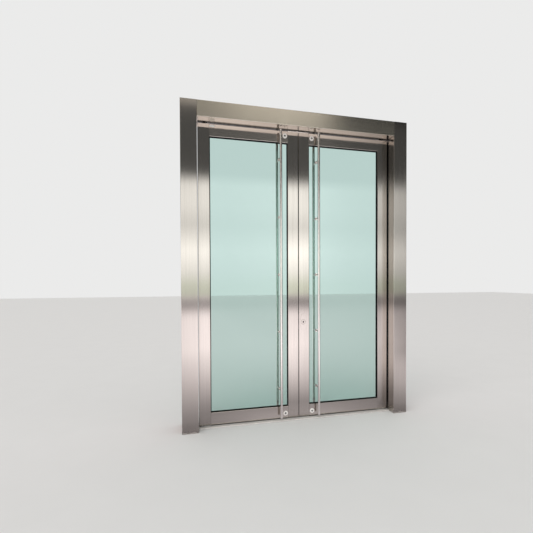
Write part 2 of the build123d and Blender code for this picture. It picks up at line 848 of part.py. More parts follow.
def lock_bolt(plane, reach, flat):
    """Bolt with a forked tail: one slot clears the plug's shaft, the other takes the cam pin."""
    pin_y = -cam_radius * math.sin(cam_start)
    slot_half = cam_pin_radius + slot_play
    with BuildPart() as bolt:
        with BuildSketch(plane.offset(-tail_thickness / 2)):
            with Locations((0, (tail_above - tail_below) / 2)):
                Rectangle(2 * tail_half_width, tail_above + tail_below)
            with Locations((0, -tail_below)):
                SlotOverall(2 * (tail_below + plug_shaft_radius + shaft_slot_play),
                            2 * (plug_shaft_radius + shaft_slot_play), rotation=90, mode=Mode.SUBTRACT)
            with Locations((cam_radius / 2, pin_y)):
                Rectangle(cam_radius + 2 * slot_half, 2 * slot_half, mode=Mode.SUBTRACT)
        extrude(amount=tail_thickness)
        with BuildSketch(throw_plane(plane, tail_above - tail_overlap)):
            nose(flat, 0)
        extrude(amount=reach - bolt_setback - tail_above + tail_overlap)
    return bolt


def rosettes(places, oval):
    """Round rosettes on both faces of a leaf, on an oval plate each where oval is true."""
    with BuildPart() as plates:
        for start, way in ((leaf_front, 1), (leaf_back, -1)):
            with BuildSketch(upright(start)):
                with Locations(*places):
                    Circle(rosette_radius)
            extrude(amount=way * rosette_thickness)
        fillet(rosette_rims(plates), rosette_round)
        for start, way in ((leaf_front, 1), (leaf_back, -1)):
            if oval:
                with BuildSketch(upright(start)):
                    with Locations(*places):
                        Ellipse(escutcheon_width / 2, escutcheon_length / 2)
                extrude(amount=way * escutcheon_thickness)
            with BuildSketch(upright(start)):
                with Locations(*places):
                    Circle(plug_radius + rosette_play)
            extrude(amount=way * rosette_thickness, mode=Mode.SUBTRACT)
    return plates


def rosette_rims(plates):
    """The outer rims of the rosettes, on the two faces furthest from the leaf."""
    layers = plates.faces().filter_by(Axis.Y).group_by(Axis.Y)
    return (layers[0] + layers[-1]).edges()


def lock_rosettes(side):
    """The four round rosettes of one leaf's top and bottom locks."""
    x = side * lock_offset
    return rosettes([(x, leaf_top - lock_inset), (x, leaf_bottom + lock_inset)], oval=False)


def centre_escutcheons():
    """Oval plates with a raised round boss on both faces of the right meeting stile."""
    return rosettes([(meet_x + centre_lock_backset, centre_lock_height)], oval=True)


def strike_plate():
    """Plate in the edge of the left meeting stile with the slot for the centre bolt."""
    with BuildPart() as plate:
        with BuildSketch(Plane.YZ.offset(-meet_x)):
            with Locations((leaf_mid, centre_lock_height)):
                Rectangle(forend_width, strike_length)
                Rectangle(centre_bolt_thickness + 2 * keep_play, centre_bolt_height + 2 * keep_play,
                          mode=Mode.SUBTRACT)
        extrude(amount=-leaf_wall)
    return plate


# Every piece, written one by one

save(header_cladding(), "header_cladding")
save(header_beam(), "header_beam")
save(frame_bolts(), "frame_bolts")
save(threshold_plate(), "threshold_plate")
save(pivot_screws(), "pivot_screws")
for name, side in sides.items():
    save(jamb_cladding(side), f"{name}_jamb_cladding")
    save(jamb_post(side), f"{name}_jamb_post")
    save(closer_body(side), f"{name}_closer_body")
    save(bottom_pivot(side), f"{name}_bottom_pivot")
    save(closer_spindle(side), f"{name}_closer_spindle")
    save(top_pivot_arm(side), f"{name}_top_pivot_arm")
    save(bottom_pivot_shoe(side), f"{name}_bottom_pivot_shoe")
    save(hinge_stile(side), f"{name}_hinge_stile")
    save(meeting_stile(side), f"{name}_meeting_stile")
    save(top_rail(side), f"{name}_top_rail")
    save(bottom_rail(side), f"{name}_bottom_rail")
    save(glass_pane(side), f"{name}_glass_pane")
    save(gaskets(side), f"{name}_gaskets")
    save(setting_blocks(side), f"{name}_setting_blocks")
    save(pull_tube(side, leaf_front - pull_stand_off), f"{name}_outside_pull")
    save(pull_tube(side, leaf_back + pull_stand_off), f"{name}_inside_pull")
    save(pull_posts(side), f"{name}_pull_posts")
    save(pull_studs(side), f"{name}_pull_studs")
    save(pull_washers(side), f"{name}_pull_washers")
    save(lock_case([top_lock_plane(side), bottom_lock_plane(side)], lock_inset, flat=False),
         f"{name}_lock_cases")
    save(lock_rosettes(side), f"{name}_lock_rosettes")
    save(lock_plug(top_lock_plane(side)), f"{name}_top_lock_plug")
    save(lock_bolt(top_lock_plane(side), lock_inset, flat=False), f"{name}_top_lock_bolt")
    save(lock_plug(bottom_lock_plane(side)), f"{name}_bottom_lock_plug")
    save(lock_bolt(bottom_lock_plane(side), lock_inset, flat=False), f"{name}_bottom_lock_bolt")
save(strike_plate(), "left_strike_plate")
save(lock_case([centre_lock_plane()], centre_lock_backset, flat=True), "centre_lock_case")
save(lock_plug(centre_lock_plane()), "centre_lock_plug")
save(lock_bolt(centre_lock_plane(), centre_lock_backset, flat=True), "centre_lock_bolt")
save(centre_escutcheons(), "centre_lock_escutcheons")
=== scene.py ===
"""Looks of a two-leaf glass entrance door in a brushed stainless portal.

X runs along the front from left to right, Y from the outer side to the inner side, Z is up.
The origin is on the floor at the middle of the portal's footprint. Lengths are in metres.
"""

import logging
import math
from dataclasses import dataclass, field
from enum import Enum

import bmesh
import bpy
from mathutils import Matrix, Vector

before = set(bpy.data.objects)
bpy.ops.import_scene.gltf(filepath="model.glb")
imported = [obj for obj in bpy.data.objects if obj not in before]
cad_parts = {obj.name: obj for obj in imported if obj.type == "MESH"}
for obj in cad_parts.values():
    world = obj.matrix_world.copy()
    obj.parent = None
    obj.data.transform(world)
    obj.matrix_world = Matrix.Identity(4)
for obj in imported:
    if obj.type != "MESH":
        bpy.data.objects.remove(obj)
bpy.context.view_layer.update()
log = logging.getLogger("entrance_door")

Colour = tuple[float, float, float]
Levels = tuple[tuple[float, float], ...]
Socket = bpy.types.NodeSocket
Node = bpy.types.Node
NodeTree = bpy.types.NodeTree

SIDES = ("left", "right")
WHITE: Colour = (1.0, 1.0, 1.0)
# The colour sockets of a Mix node, which has sockets of the same names for other types.
MIX_FACTOR, MIX_FIRST, MIX_SECOND, MIX_RESULT = 0, 6, 7, 2
# The smallest length that a direction is divided by.
TINY = 0.001
# Bounces are whole numbers, so more than this is one or more.
UNDER_ONE_BOUNCE = 0.5
# A camera turned by this about X looks level.
LEVEL_DEG = 90.0


class Grain(Enum):
    """Which way the grinding lines of a steel face run."""

    UPRIGHT = "upright"
    LEVEL = "level"
    ROUND = "round"


@dataclass(frozen=True)
class Speckle:
    """Settings of one layer of noise."""

    scale: float
    detail: float
    roughness: float = 0.5


@dataclass(frozen=True)
class Span:
    """A range of values, and the range that it becomes."""

    low: float
    high: float
    to_low: float = 0.0
    to_high: float = 1.0


def plain(colour: Colour) -> tuple[float, float, float, float]:
    """The colour with full opacity, as a socket takes it."""
    return (*colour, 1.0)


def shade(level: float, tint: Colour = WHITE) -> Colour:
    """A tint at the given brightness."""
    return tuple(level * part for part in tint)


class Graph:
    """Short calls for building one node tree."""

    def __init__(self, tree: NodeTree) -> None:
        """Keep the tree that the calls add to."""
        self.tree = tree

    def node(self, kind: str, **settings: object) -> Node:
        """Add a node and set its properties.

        Args:
            kind: Blender's name of the node type.
            **settings: Properties to set on the node.

        Returns:
            The new node.
        """
        made = self.tree.nodes.new(kind)
        for name, value in settings.items():
            setattr(made, name, value)
        return made

    def feed(self, socket: Socket, value: object) -> None:
        """Link a socket to an output, or set it to a plain value.

        Args:
            socket: The input to fill.
            value: An output socket, a number or a colour.
        """
        if isinstance(value, Socket):
            self.tree.links.new(value, socket)
        else:
            socket.default_value = value

    def maths(self, operation: str, *values: object, clamp: bool = False) -> Socket:
        """Add a Math node.

        Args:
            operation: The node's operation.
            *values: Its inputs in order.
            clamp: Whether the result is held between 0 and 1.

        Returns:
            Its output.
        """
        made = self.node("ShaderNodeMath", operation=operation, use_clamp=clamp)
        for socket, value in zip(made.inputs, values):
            self.feed(socket, value)
        return made.outputs[0]

    def vectors(self, operation: str, *values: object) -> Node:
        """Add a Vector Math node.

        Args:
            operation: The node's operation.
            *values: Its inputs in order.

        Returns:
            The node.
        """
        made = self.node("ShaderNodeVectorMath", operation=operation)
        for socket, value in zip(made.inputs, values):
            self.feed(socket, value)
        return made

    def parts(self, vector: Socket) -> bpy.types.NodeOutputs:
        """The X, Y and Z outputs of a vector."""
        made = self.node("ShaderNodeSeparateXYZ")
        self.feed(made.inputs[0], vector)
        return made.outputs

    def noise(self, vector: Socket, speckle: Speckle) -> Socket:
        """Add a Noise Texture.

        Args:
            vector: The coordinates that it reads.
            speckle: Its settings.

        Returns:
            Its factor output.
        """
        made = self.node("ShaderNodeTexNoise")
        self.feed(made.inputs["Vector"], vector)
        made.inputs["Scale"].default_value = speckle.scale
        made.inputs["Detail"].default_value = speckle.detail
        made.inputs["Roughness"].default_value = speckle.roughness
        return made.outputs["Fac"]

    def stretch(self, vector: Socket, scale: tuple[float, float, float]) -> Socket:
        """Multiply coordinates axis by axis.

        Args:
            vector: The coordinates.
            scale: The factor on each axis.

        Returns:
            The stretched coordinates.
        """
        made = self.node("ShaderNodeMapping")
        self.feed(made.inputs["Vector"], vector)
        made.inputs["Scale"].default_value = scale
        return made.outputs["Vector"]

    def remap(self, value: Socket, span: Span) -> Socket:
        """Map a value from one range to another, held at both ends.

        Args:
            value: The value.
            span: Both ranges.

        Returns:
            The mapped value.
        """
        made = self.node("ShaderNodeMapRange", clamp=True)
        for name, number in (("From Min", span.low), ("From Max", span.high),
                             ("To Min", span.to_low), ("To Max", span.to_high)):
            made.inputs[name].default_value = number
        self.feed(made.inputs["Value"], value)
        return made.outputs["Result"]

    def mix(self, factor: object, first: object, second: object) -> Socket:
        """Mix two colours.

        Args:
            factor: Share of the second colour.
            first: The first colour.
            second: The second colour.

        Returns:
            The mixed colour.
        """
        made = self.node("ShaderNodeMix", data_type="RGBA")
        self.feed(made.inputs[MIX_FACTOR], factor)
        self.feed(made.inputs[MIX_FIRST], first)
        self.feed(made.inputs[MIX_SECOND], second)
        return made.outputs[MIX_RESULT]

    def ramp(self, value: Socket, stops: tuple[tuple[float, Colour], ...],
             gain: float = 1.0) -> Socket:
        """Look a value up in a list of colours.

        Args:
            value: The value, from 0 to 1.
            stops: Place and colour of each stop.
            gain: Factor on the colour that comes out.

        Returns:
            The colour.
        """
        made = self.node("ShaderNodeValToRGB")
        elements = made.color_ramp.elements
        for place, _ in stops[1:-1]:
            elements.new(place)
        for element, (place, colour) in zip(elements, stops):
            element.position = place
            element.color = plain(colour)
        self.feed(made.inputs[0], value)
        return self.scaled(made.outputs[0], gain)

    def band(self, value: Socket, levels: Levels, tint: Colour = WHITE,
             gain: float = 1.0) -> Socket:
        """Look a value up in a list of brightnesses of one tint.

        Args:
            value: The value, from 0 to 1.
            levels: Place and brightness of each stop.
            tint: The tint of all of them.
            gain: Factor on the colour that comes out.

        Returns:
            The colour.
        """
        return self.ramp(value, tuple((stop, shade(level, tint)) for stop, level in levels), gain)

    def scaled(self, colour: Socket, factor: object) -> Socket:
        """Multiply a colour by a number.

        Args:
            colour: The colour.
            factor: The number, or the output that gives it.

        Returns:
            The colour that results.
        """
        made = self.node("ShaderNodeVectorMath", operation="SCALE")
        self.feed(made.inputs[0], colour)
        self.feed(made.inputs["Scale"], factor)
        return made.outputs[0]

    def group(self, tree: NodeTree, **inputs: object) -> Node:
        """Place a node group.

        Args:
            tree: The group.
            **inputs: Values for its inputs by name.

        Returns:
            The group's node.
        """
        made = self.node("ShaderNodeGroup", node_tree=tree)
        for name, value in inputs.items():
            self.feed(made.inputs[name], value)
        return made

    def relief(self, shader: Node, height: Socket, strength: float, distance: float) -> None:
        """Bump a shader's normal.

        Args:
            shader: The shader.
            height: The height that the bump follows.
            strength: The bump's strength.
            distance: The real depth of the relief.
        """
        bump = self.node("ShaderNodeBump")
        bump.inputs["Strength"].default_value = strength
        bump.inputs["Distance"].default_value = distance
        self.feed(bump.inputs["Height"], height)
        self.feed(shader.inputs["Normal"], bump.outputs["Normal"])


FLOAT, VECTOR = "NodeSocketFloat", "NodeSocketVector"


def new_group(name: str, inputs: dict[str, tuple[str, object]],
              outputs: dict[str, str]) -> tuple[Graph, dict[str, Socket], dict[str, Socket]]:
    """Start a shader node group with named sockets.

    Args:
        name: The group's name.
        inputs: Socket type and default value by input name.
        outputs: Socket type by output name.

    Returns:
        The group's graph, its inputs by name and its outputs' sockets by name.
    """
    tree = bpy.data.node_groups.new(name, "ShaderNodeTree")
    for label, (kind, value) in inputs.items():
        socket = tree.interface.new_socket(label, in_out="INPUT", socket_type=kind)
        if value is not None:
            socket.default_value = value
    for label, kind in outputs.items():
        tree.interface.new_socket(label, in_out="OUTPUT", socket_type=kind)
    graph = Graph(tree)
    start, end = graph.node("NodeGroupInput"), graph.node("NodeGroupOutput")
    return (graph, {label: start.outputs[label] for label in inputs},
            {label: end.inputs[label] for label in outputs})


@dataclass
class Effects:
    """Node groups that several finishes share, each built once."""

    built: dict[str, NodeTree] = field(default_factory=dict)

    # Grinding lines: three widths of noise. Their shares add up to 2, so the sum lies round 1.
    broad_lines: Speckle = Speckle(0.06, 2.0, 0.6)
    medium_lines: Speckle = Speckle(0.35, 3.0, 0.6)
    fine_lines: Speckle = Speckle(2.4, 2.0, 0.7)
    broad_share: float = 0.7
    medium_share: float = 0.8
    fine_share: float = 0.5
    line_middle: float = 0.5
    fine_height: float = 0.7
    medium_height: float = 0.3

    # Hand marks: blots inside larger clouds that are drawn out upwards.
    mark_clouds: Speckle = Speckle(5.0, 4.0, 0.55)
    mark_blots: Speckle = Speckle(23.0, 3.0, 0.6)
    mark_stretch: tuple[float, float, float] = (1.0, 1.0, 0.55)
    cloud_edge: Span = Span(0.48, 0.72)
    blot_edge: Span = Span(0.35, 0.7, 0.25, 1.0)

    # Dust and mortar at the foot.
    dust_spots: Speckle = Speckle(60.0, 4.0, 0.65)
    dust_ragged: float = 0.12
    dust_fade: Span = Span(0.35, 1.25, 0.55, 0.0)
    dust_reach: float = 0.14
    smear_ragged: Speckle = Speckle(45.0, 3.0, 0.7)
    smear_share: Span = Span(0.3, 0.7, 0.25, 1.6)
    smear_edge: Span = Span(-0.001, 0.001, 0.85, 0.0)
    smear_height: float = 0.011

    # Painted shade in gaps: how open a place must be before no shade is painted.
    shade_samples: int = 8
    shade_edge: Span = Span(0.30, 0.68)

    def ground_lines(self) -> NodeTree:
        """Grinding lines on coordinates that are already stretched along the grain.

        Returns:
            The group, with a Line value round a half, and a finer Height for bump.
        """
        if "ground_lines" not in self.built:
            graph, given, out = new_group("ground_lines",
                                          {"Vector": (VECTOR, None), "Contrast": (FLOAT, 1.0)},
                                          {"Line": FLOAT, "Height": FLOAT})
            broad = graph.noise(given["Vector"], self.broad_lines)
            medium = graph.noise(given["Vector"], self.medium_lines)
            fine = graph.noise(given["Vector"], self.fine_lines)
            coarse = graph.maths("MULTIPLY_ADD", medium, self.medium_share,
                                 graph.maths("MULTIPLY", broad, self.broad_share))
            line = graph.maths("MULTIPLY_ADD", fine, self.fine_share, coarse)
            centred = graph.maths("SUBTRACT", line, 1.0)
            graph.feed(out["Line"], graph.maths("MULTIPLY_ADD", centred, given["Contrast"],
                                                self.line_middle, clamp=True))
            graph.feed(out["Height"], graph.maths("MULTIPLY_ADD", fine, self.fine_height,
                                                  graph.maths("MULTIPLY", medium,
                                                              self.medium_height)))
            self.built["ground_lines"] = graph.tree
        return self.built["ground_lines"]

    def hand_marks(self) -> NodeTree:
        """Soft smears of touching and wiping on unstretched coordinates.

        Returns:
            The group, with one Mask.
        """
        if "hand_marks" not in self.built:
            graph, given, out = new_group("hand_marks",
                                          {"Vector": (VECTOR, None), "Amount": (FLOAT, 0.5)},
                                          {"Mask": FLOAT})
            cloud = graph.noise(graph.stretch(given["Vector"], self.mark_stretch),
                                self.mark_clouds)
            blot = graph.noise(given["Vector"], self.mark_blots)
            joined = graph.maths("MULTIPLY", graph.remap(cloud, self.cloud_edge),
                                 graph.remap(blot, self.blot_edge))
            graph.feed(out["Mask"], graph.maths("MULTIPLY", joined, given["Amount"], clamp=True))
            self.built["hand_marks"] = graph.tree
        return self.built["hand_marks"]

    def foot_dust(self) -> NodeTree:
        """Dust and splash marks that fade out within a hand's width of the floor.

        Returns:
            The group, with one Mask.
        """
        if "foot_dust" not in self.built:
            graph, given, out = new_group("foot_dust",
                                          {"Vector": (VECTOR, None),
                                           "Reach": (FLOAT, self.dust_reach)},
                                          {"Mask": FLOAT})
            height = graph.parts(given["Vector"])["Z"]
            spots = graph.noise(given["Vector"], self.dust_spots)
            edge = graph.maths("MULTIPLY_ADD", spots, self.dust_ragged, height)
            share = graph.maths("DIVIDE", edge, given["Reach"])
            graph.feed(out["Mask"], graph.remap(share, self.dust_fade))
            self.built["foot_dust"] = graph.tree
        return self.built["foot_dust"]

    def mortar_smear(self) -> NodeTree:
        """Mortar left on the last centimetre above the floor, with a ragged upper edge.

        Returns:
            The group, with one Mask.
        """
        if "mortar_smear" not in self.built:
            graph, given, out = new_group("mortar_smear",
                                          {"Vector": (VECTOR, None),
                                           "Height": (FLOAT, self.smear_height)},
                                          {"Mask": FLOAT})
            height = graph.parts(given["Vector"])["Z"]
            ragged = graph.noise(given["Vector"], self.smear_ragged)
            edge = graph.maths("MULTIPLY", graph.remap(ragged, self.smear_share),
                               given["Height"])
            graph.feed(out["Mask"],
                       graph.remap(graph.maths("SUBTRACT", height, edge), self.smear_edge))
            self.built["mortar_smear"] = graph.tree
        return self.built["mortar_smear"]

    def crevice_painted_shade(self) -> NodeTree:
        """Painted shade, from ambient occlusion, where two surfaces nearly meet, as in the gaps
        round a leaf.

        Returns:
            The group, with one value for how open a place is, which is 1 in the open and 0 deep
            in a gap.
        """
        if "crevice_painted_shade" not in self.built:
            graph, given, out = new_group("crevice_painted_shade", {"Reach": (FLOAT, 0.02)},
                                          {"Unshaded": FLOAT})
            nearness = graph.node("ShaderNodeAmbientOcclusion", samples=self.shade_samples)
            graph.feed(nearness.inputs["Distance"], given["Reach"])
            graph.feed(out["Unshaded"], graph.remap(nearness.outputs["AO"], self.shade_edge))
            self.built["crevice_painted_shade"] = graph.tree
        return self.built["crevice_painted_shade"]


EFFECTS = Effects()


@dataclass(frozen=True)
class Finish:
    """A material of this door; each kind of finish says in dress() how it looks."""

    name: str

    def material(self) -> bpy.types.Material:
        """The material, built the first time it is asked for."""
        known = bpy.data.materials.get(self.name)
        if known is not None:
            return known
        made = bpy.data.materials.new(self.name)
        made.use_nodes = True
        graph = Graph(made.node_tree)
        shader = made.node_tree.nodes["Principled BSDF"]
        place = graph.node("ShaderNodeTexCoord").outputs["Object"]
        self.dress(graph, shader, place)
        return made

    def dress(self, graph: Graph, shader: Node, place: Socket) -> None:
        """Fill the shader; a finish has its own version of this."""
        raise NotImplementedError

    def put_on(self, *nodes: str) -> None:
        """Give the finish to CAD nodes.

        Args:
            *nodes: Names of the nodes.
        """
        for node in nodes:
            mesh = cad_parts[node].data
            mesh.materials.clear()
            mesh.materials.append(self.material())
            log.info("%s has the finish %s", node, self.name)


@dataclass(frozen=True)
class BrushedSteel(Finish):
    """Satin stainless sheet or tube with grinding lines."""

    grain: Grain = Grain.UPRIGHT
    bright: Colour = (0.605, 0.567, 0.53)
    dull: Colour = (0.50, 0.468, 0.437)
    roughness: float = 0.19
    line_polish: float = 0.06
    contrast: float = 1.0
    anisotropy: float = 1.0
    line_width: float = 0.0009
    line_length: float = 0.12
    relief: float = 0.00002
    relief_strength: float = 0.35
    marks: float = 0.35
    marks_dull: float = 0.06
    dusty: bool = False
    dust: Colour = (0.36, 0.33, 0.30)
    dust_dull: float = 0.35
    mortar: Colour = (0.50, 0.45, 0.42)
    mortar_dull: float = 0.4
    # Near-black painted shade in the gaps round a leaf, and how far from a near surface it
    # reaches.
    gap_shade: Colour = (0.008, 0.007, 0.006)
    shade_reach: float = 0.03
    # A painted highlight: a near-white, matt patch over the dent in the left top rail, where the
    # dent's curve would catch a bright reflection.
    highlight_at: tuple[float, float, float] | None = None
    highlight_half: tuple[float, float, float] = (0.029, 0.010, 0.011)
    painted_highlight: Colour = (1.0, 0.99, 0.97)
    highlight_dull: float = 0.3
    highlight_edge: Span = Span(0.75, 1.05, 1.0, 0.0)

    def stretched(self) -> tuple[float, float, float]:
        """The factor on each axis that draws noise out along the grain."""
        across, along = 1 / self.line_width, 1 / self.line_length
        if self.grain is Grain.LEVEL:
            return (along, across, across)
        if self.grain is Grain.ROUND:
            return (along, along, across)
        return (across, across, along)

    def dress(self, graph: Graph, shader: Node, place: Socket) -> None:
        """Colour, roughness and relief follow the grain; marks, dust, painted shade in the gaps
        and a painted highlight lie over them.
        """
        lines = graph.group(EFFECTS.ground_lines(), Contrast=self.contrast,
                            Vector=graph.stretch(place, self.stretched())).outputs
        marks = graph.group(EFFECTS.hand_marks(), Vector=place, Amount=self.marks)
        colour = graph.mix(lines["Line"], plain(self.dull), plain(self.bright))
        rough = graph.maths("MULTIPLY_ADD", lines["Line"], -self.line_polish,
                            self.roughness + self.line_polish / 2)
        rough = graph.maths("MULTIPLY_ADD", marks.outputs["Mask"], self.marks_dull, rough)
        if self.dusty:
            dust = graph.group(EFFECTS.foot_dust(), Vector=place).outputs["Mask"]
            colour = graph.mix(dust, colour, plain(self.dust))
            rough = graph.maths("MULTIPLY_ADD", dust, self.dust_dull, rough)
            smear = graph.group(EFFECTS.mortar_smear(), Vector=place).outputs["Mask"]
            colour = graph.mix(smear, colour, plain(self.mortar))
            rough = graph.maths("MULTIPLY_ADD", smear, self.mortar_dull, rough)
            self.bare_metal(graph, shader, smear)
        # Painted highlight over the dent: near-white and not metal inside the patch.
        if self.highlight_at is not None:
            painted_highlight_patch = self.painted_highlight_patch(graph, place)
            colour = graph.mix(painted_highlight_patch, colour, plain(self.painted_highlight))
            rough = graph.maths("MULTIPLY_ADD", painted_highlight_patch, self.highlight_dull, rough)
            self.bare_metal(graph, shader, painted_highlight_patch)
        # Painted shade: the colour goes near-black where another surface is close.
        unshaded = graph.group(EFFECTS.crevice_painted_shade(), Reach=self.shade_reach).outputs["Unshaded"]
        colour = graph.mix(unshaded, plain(self.gap_shade), colour)
        graph.feed(shader.inputs["Base Color"], colour)
        graph.feed(shader.inputs["Roughness"], rough)
        if not self.dusty and self.highlight_at is None:
            shader.inputs["Metallic"].default_value = 1.0
        shader.inputs["Anisotropic"].default_value = self.anisotropy
        graph.feed(shader.inputs["Tangent"], self.across_grain(graph))
        graph.relief(shader, lines["Height"], self.relief_strength, self.relief)

    def bare_metal(self, graph: Graph, shader: Node, covered: Socket) -> None:
        """Metal where nothing covers the steel: no mortar and no painted highlight."""
        graph.feed(shader.inputs["Metallic"], graph.maths("SUBTRACT", 1.0, covered, clamp=True))

    def painted_highlight_patch(self, graph: Graph, place: Socket) -> Socket:
        """The patch of painted highlight over the dent, 1 inside it and 0 outside."""
        moved = graph.vectors("SUBTRACT", place, self.highlight_at).outputs[0]
        rounded = graph.stretch(moved, tuple(1 / half for half in self.highlight_half))
        length = graph.vectors("LENGTH", rounded).outputs["Value"]
        return graph.remap(length, self.highlight_edge)

    def across_grain(self, graph: Graph) -> Socket:
        """The direction in the surface and across the grain, in which reflections spread."""
        if self.grain is Grain.ROUND:
            return self.turned_axis(graph, (0.0, 0.0, 1.0))
        axis = (1.0, 0.0, 0.0) if self.grain is Grain.LEVEL else (0.0, 0.0, 1.0)
        normal = graph.node("ShaderNodeNewGeometry").outputs["True Normal"]
        return graph.vectors("CROSS_PRODUCT", self.turned_axis(graph, axis), normal).outputs[0]

    def turned_axis(self, graph: Graph, axis: tuple[float, float, float]) -> Socket:
        """An axis of the piece, turned with it as it moves.

        Args:
            graph: The material's graph.
            axis: The axis in the piece's own coordinates.

        Returns:
            The axis in world coordinates.
        """
        fixed = graph.node("ShaderNodeCombineXYZ")
        for socket, number in zip(fixed.inputs, axis):
            socket.default_value = number
        turned = graph.node("ShaderNodeVectorTransform", vector_type="VECTOR",
                            convert_from="OBJECT", convert_to="WORLD")
        graph.feed(turned.inputs[0], fixed.outputs[0])
        return turned.outputs[0]


@dataclass(frozen=True)
class PlainMetal(Finish):
    """Turned, plated or cast metal without a grain direction."""

    tone: Colour = (0.7, 0.69, 0.66)
    roughness: float = 0.2
    mottle: float = 0.12
    mottle_scale: float = 90.0
    mottle_detail: float = 4.0
    mottle_edge: Span = Span(0.3, 0.7)
    fine_factor: float = 9.0
    fine_detail: float = 2.0
    octave_share: float = 0.6
    metallic: float = 1.0
    relief: float = 0.00002
    relief_strength: float = 0.3
    # Whether near-black painted shade is laid into the corners, its colour and how far it
    # reaches.
    gap_shaded: bool = False
    gap_shade: Colour = (0.03, 0.027, 0.025)
    shade_reach: float = 0.014

    def dress(self, graph: Graph, shader: Node, place: Socket) -> None:
        """Fine mottling of colour, roughness and relief, with painted shade in the corners."""
        cloud = graph.noise(place, Speckle(self.mottle_scale, self.mottle_detail,
                                           self.octave_share))
        fine = graph.noise(place, Speckle(self.mottle_scale * self.fine_factor,
                                          self.fine_detail, self.octave_share))
        darker = shade(1 - 2 * self.mottle, self.tone)
        colour = graph.mix(graph.remap(cloud, self.mottle_edge), plain(darker), plain(self.tone))
        # Painted shade: darker where another surface is close.
        if self.gap_shaded:
            gap_shade = graph.group(EFFECTS.crevice_painted_shade(), Reach=self.shade_reach)
            colour = graph.mix(gap_shade.outputs["Unshaded"], plain(self.gap_shade), colour)
        graph.feed(shader.inputs["Base Color"], colour)
        graph.feed(shader.inputs["Roughness"],
                   graph.maths("MULTIPLY_ADD", fine, self.mottle,
                               self.roughness - self.mottle / 2))
        shader.inputs["Metallic"].default_value = self.metallic
        graph.relief(shader, fine, self.relief_strength, self.relief)


@dataclass(frozen=True)
class SoftPlastic(Finish):
    """Rubber or nylon, matt, with a little dust in it."""

    tone: Colour = (0.004, 0.004, 0.004)
    dust: Colour = (0.02, 0.019, 0.018)
    dust_clouds: Speckle = Speckle(30.0, 4.0, 0.65)
    dust_edge: Span = Span(0.45, 0.75, 0.0, 0.6)
    dust_dull: float = 0.3
    roughness: float = 0.6
    specular: float = 0.2
    pores: Speckle = Speckle(700.0, 2.0)
    relief: float = 0.0001
    relief_strength: float = 0.2

    def dress(self, graph: Graph, shader: Node, place: Socket) -> None:
        """Dusty patches over a dark, matt body."""
        shader.inputs["Specular IOR Level"].default_value = self.specular
        patches = graph.remap(graph.noise(place, self.dust_clouds), self.dust_edge)
        graph.feed(shader.inputs["Base Color"],
                   graph.mix(patches, plain(self.tone), plain(self.dust)))
        graph.feed(shader.inputs["Roughness"],
                   graph.maths("MULTIPLY_ADD", patches, self.dust_dull, self.roughness))
        graph.relief(shader, graph.noise(place, self.pores), self.relief_strength, self.relief)


@dataclass(frozen=True)
class PaneGlass(Finish):
    """Clear toughened glass, faintly green, that lets lamps through."""

    tint: Colour = (0.63, 0.82, 0.78)
    ior: float = 1.5
    smear: float = 0.035

    def dress(self, graph: Graph, shader: Node, place: Socket) -> None:
        """Smooth tinted glass with faint wiped smears, clear to light from the lamps."""
        marks = graph.group(EFFECTS.hand_marks(), Vector=place, Amount=1.0).outputs["Mask"]
        shader.inputs["Base Color"].default_value = plain(self.tint)
        shader.inputs["Metallic"].default_value = 0.0
        shader.inputs["IOR"].default_value = self.ior
        shader.inputs["Transmission Weight"].default_value = 1.0
        graph.feed(shader.inputs["Roughness"], graph.maths("MULTIPLY", marks, self.smear))
        clear = graph.node("ShaderNodeBsdfTransparent")
        clear.inputs["Color"].default_value = plain(self.tint)
        path = graph.node("ShaderNodeLightPath")
        choose = graph.node("ShaderNodeMixShader")
        graph.feed(choose.inputs[0], path.outputs["Is Shadow Ray"])
        graph.feed(choose.inputs[1], shader.outputs[0])
        graph.feed(choose.inputs[2], clear.outputs[0])
        output = graph.tree.nodes["Material Output"]
        graph.feed(output.inputs["Surface"], choose.outputs[0])


UPRIGHT_SHEET = BrushedSteel("satin_sheet_upright", roughness=0.125, dusty=True)
LEVEL_SHEET = BrushedSteel("satin_sheet_level", grain=Grain.LEVEL, bright=(0.605, 0.563, 0.49),
                           dull=(0.50, 0.463, 0.40), roughness=0.155, anisotropy=0.9)
RAIL_SHEET = BrushedSteel("satin_rail_level", grain=Grain.LEVEL, roughness=0.10, anisotropy=0.6)
# The left top rail carries a painted highlight over its dent.
HIGHLIGHTED_RAIL = BrushedSteel("satin_rail_painted_highlight", grain=Grain.LEVEL, roughness=0.10,
                            anisotropy=0.6, highlight_at=(-0.863, -0.010, 2.899))
GROUND_TUBE = BrushedSteel("ground_tube", grain=Grain.ROUND, bright=(0.84, 0.81, 0.785),
                           dull=(0.74, 0.71, 0.685), roughness=0.15, anisotropy=0.8,
                           line_width=0.0006, marks=0.5)
# The threshold, the rosettes and the greased steel below get painted shade in their corners.
WORN_PLATE = PlainMetal("worn_threshold", tone=(0.88, 0.85, 0.82), roughness=0.45, mottle=0.08,
                        mottle_scale=30.0, metallic=0.35, gap_shaded=True)
# Near-black lock plugs: painted shade of the recess round each keyhole.
PLUG_PAINTED_SHADE = PlainMetal("lock_plug_painted_shade", tone=(0.012, 0.011, 0.010), roughness=0.5, mottle=0.02,
                        metallic=0.4)
